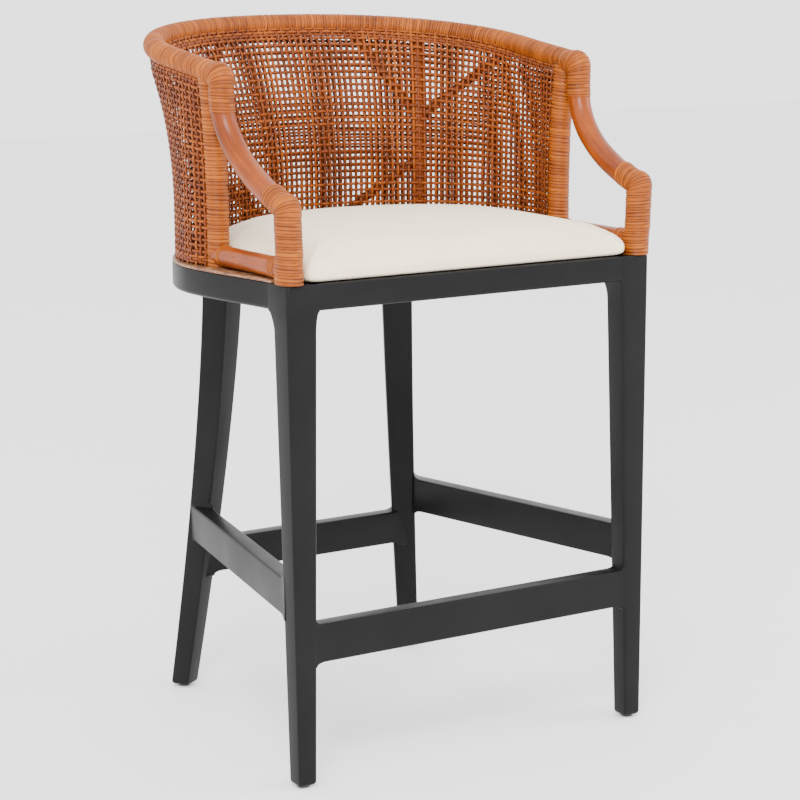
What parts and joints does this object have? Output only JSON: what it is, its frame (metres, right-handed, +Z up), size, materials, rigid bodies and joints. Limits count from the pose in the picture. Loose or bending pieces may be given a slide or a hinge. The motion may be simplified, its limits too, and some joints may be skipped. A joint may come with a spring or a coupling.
{
  "type": "bar stool with footrest",
  "caption": "Counter-height bar stool: painted wood base with footrest and stretchers, cane-covered rattan barrel back, bent rattan arms and an upholstered seat.",
  "frame": {"origin": "on the floor, under the middle of the stool's footprint box", "axes": "+Z up; the open front of the seat faces -Y; +X is to the right as seen by someone in front of the stool"},
  "size_m": [0.569, 0.4888, 0.9015],
  "materials": {
    "painted_wood": "satin charcoal paint over hardwood",
    "bare_wood": "unfinished plywood and softwood",
    "polished_rattan": "stained, glossy lacquer",
    "cane_binding": "stained cane strip wrapped round a pole, satin lacquer",
    "cane_weave": "open square cane weave, stained, satin",
    "trim_wood": "light clear-coated wood strip",
    "cushion_fabric": "matte off-white woven upholstery",
    "zinc_steel": "zinc plated",
    "nylon": "moulded black nylon"
  },
  "bodies": {
    "root": {"back_rail": "painted_wood", "back_stretcher": "painted_wood", "base_hoop": "polished_rattan", "edge_trim": "trim_wood", "front_left_corner_block": "bare_wood", "front_left_glide": "nylon", "front_left_leg": "painted_wood", "front_rail": "painted_wood", "front_right_corner_block": "bare_wood", "front_right_glide": "nylon", "front_right_leg": "painted_wood", "front_stretcher": "painted_wood", "inner_cane_panel": "cane_weave", "left_arm_pole": "polished_rattan", "left_elbow_binding": "cane_binding", "left_end_post": "cane_binding", "left_front_post": "cane_binding", "left_lower_inner_brace": "polished_rattan", "left_lower_rail": "polished_rattan", "left_lower_rail_binding": "cane_binding", "left_rib": "polished_rattan", "left_side_rail": "painted_wood", "left_side_stretcher": "painted_wood", "left_upper_inner_brace": "polished_rattan", "left_upper_outer_brace": "polished_rattan", "outer_cane_panel": "cane_weave", "rear_left_cleat": "bare_wood", "rear_left_glide": "nylon", "rear_left_leg": "painted_wood", "rear_right_cleat": "bare_wood", "rear_right_glide": "nylon", "rear_right_leg": "painted_wood", "right_arm_pole": "polished_rattan", "right_elbow_binding": "cane_binding", "right_end_post": "cane_binding", "right_front_post": "cane_binding", "right_lower_inner_brace": "polished_rattan", "right_lower_rail": "polished_rattan", "right_lower_rail_binding": "cane_binding", "right_rib": "polished_rattan", "right_side_rail": "painted_wood", "right_side_stretcher": "painted_wood", "right_upper_inner_brace": "polished_rattan", "right_upper_outer_brace": "polished_rattan", "rim_pole": "cane_binding", "seat_board": "bare_wood", "seat_cushion": "cushion_fabric", "seat_screw_1": "zinc_steel", "seat_screw_2": "zinc_steel", "seat_screw_3": "zinc_steel", "seat_screw_4": "zinc_steel"}
  },
  "joints": []
}
